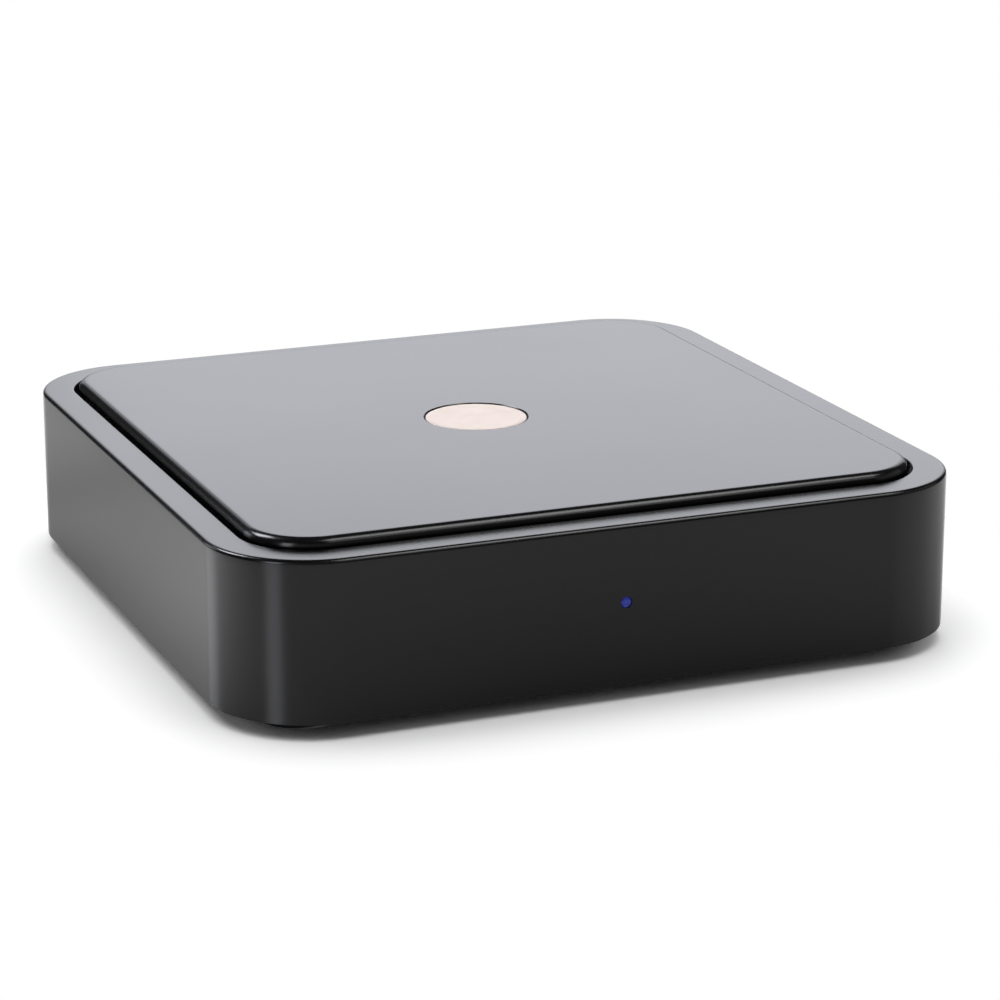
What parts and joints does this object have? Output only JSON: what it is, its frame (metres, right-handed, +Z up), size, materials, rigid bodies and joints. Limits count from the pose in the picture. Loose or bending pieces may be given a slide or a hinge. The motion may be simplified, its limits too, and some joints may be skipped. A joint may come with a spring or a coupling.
{
  "type": "network music streamer",
  "caption": "Low square network music streamer with a floating rounded top plate, a central metal badge, a front status light and a rear row of audio, network and power sockets.",
  "frame": {"origin": "on the table, under the middle of the whole part's box, rear sockets included", "axes": "+Z up from the table, -Y out of the front with the status light, +Y out of the rear sockets, +X to the right seen from the front"},
  "size_m": [0.14, 0.1482, 0.0336],
  "materials": {
    "shell_plastic": "satin black moulding",
    "top_plastic": "fine satin black moulding",
    "base_plastic": "fine spark-eroded black moulding",
    "panel_plastic": "fine matte black moulding",
    "tape": "dark foam adhesive frame",
    "badge_metal": "rose anodised, satin",
    "foot_rubber": "matte black rubber",
    "screw_steel": "zinc plated",
    "board_laminate": "green solder mask",
    "can_steel": "tinned steel",
    "jack_plastic": "black moulding",
    "contact_gold": "gold plated",
    "contact_nickel": "bright nickel plate",
    "white_plastic": "white moulding",
    "red_plastic": "red moulding",
    "button_plastic": "satin black moulding",
    "plunger_plastic": "pale moulding",
    "flap_plastic": "matte black moulding",
    "emitter_lens": "clear red lens",
    "led_epoxy": "clear epoxy",
    "light_plastic": "blue-lit clear moulding",
    "aerial_film": "flexible circuit film",
    "lead_jacket": "thin coaxial lead",
    "chip_epoxy": "black epoxy",
    "ferrite": "grey ferrite",
    "capacitor_sleeve": "dark blue sleeve"
  },
  "bodies": {
    "housing": {"outer_shell": "shell_plastic", "base_cover": "base_plastic", "top_plate": "top_plastic", "top_plate_tape": "tape", "badge": "badge_metal", "rear_panel": "panel_plastic", "rubber_feet": "foot_rubber", "cover_screws": "screw_steel", "main_board": "board_laminate", "board_screws": "screw_steel", "ethernet_jack_can": "can_steel", "ethernet_jack_insert": "jack_plastic", "ethernet_contacts": "contact_gold", "optical_jack_body": "jack_plastic", "optical_emitter": "emitter_lens", "aux_jack_body": "jack_plastic", "power_jack_body": "jack_plastic", "power_centre_pin": "contact_nickel", "phono_jack_block": "jack_plastic", "phono_barrels": "contact_nickel", "phono_left_insulator": "white_plastic", "phono_right_insulator": "red_plastic", "phono_centre_contacts": "contact_gold", "setup_switch": "jack_plastic", "reset_switch": "jack_plastic", "status_led": "led_epoxy", "led_holder": "jack_plastic", "light_pipe": "light_plastic", "radio_module": "board_laminate", "radio_shield_can": "can_steel", "radio_header": "jack_plastic", "aerial_plugs": "contact_gold", "aerial_left": "aerial_film", "aerial_right": "aerial_film", "aerial_leads": "lead_jacket", "network_transformer": "chip_epoxy", "converter_chip": "chip_epoxy", "memory_chip": "chip_epoxy", "crystal": "can_steel", "power_inductor": "ferrite", "voltage_regulator": "chip_epoxy", "capacitors": "capacitor_sleeve"},
    "setup_button": {"setup_button": "button_plastic", "setup_plunger": "plunger_plastic"},
    "reset_plunger": {"reset_plunger": "plunger_plastic"},
    "optical_flap": {"optical_flap": "flap_plastic"}
  },
  "joints": [
    {"name": "setup_button_press", "type": "slide", "parent": "housing", "child": "setup_button", "axis": [0, -1, 0], "range_m": [0, 0.0005], "stiffness_N_per_m": 1500, "springref_m": -0.0005},
    {"name": "reset_press", "type": "slide", "parent": "housing", "child": "reset_plunger", "axis": [0, -1, 0], "range_m": [0, 0.0003], "stiffness_N_per_m": 1500, "springref_m": -0.0003},
    {"name": "optical_flap_hinge", "type": "hinge", "parent": "housing", "child": "optical_flap", "pos_m": [0.00503, 0.06445, 0.01995], "axis": [-1, 0, 0], "range_deg": [0, 85], "stiffness_Nm_per_rad": 0.0002, "springref_deg": -17.19}
  ]
}
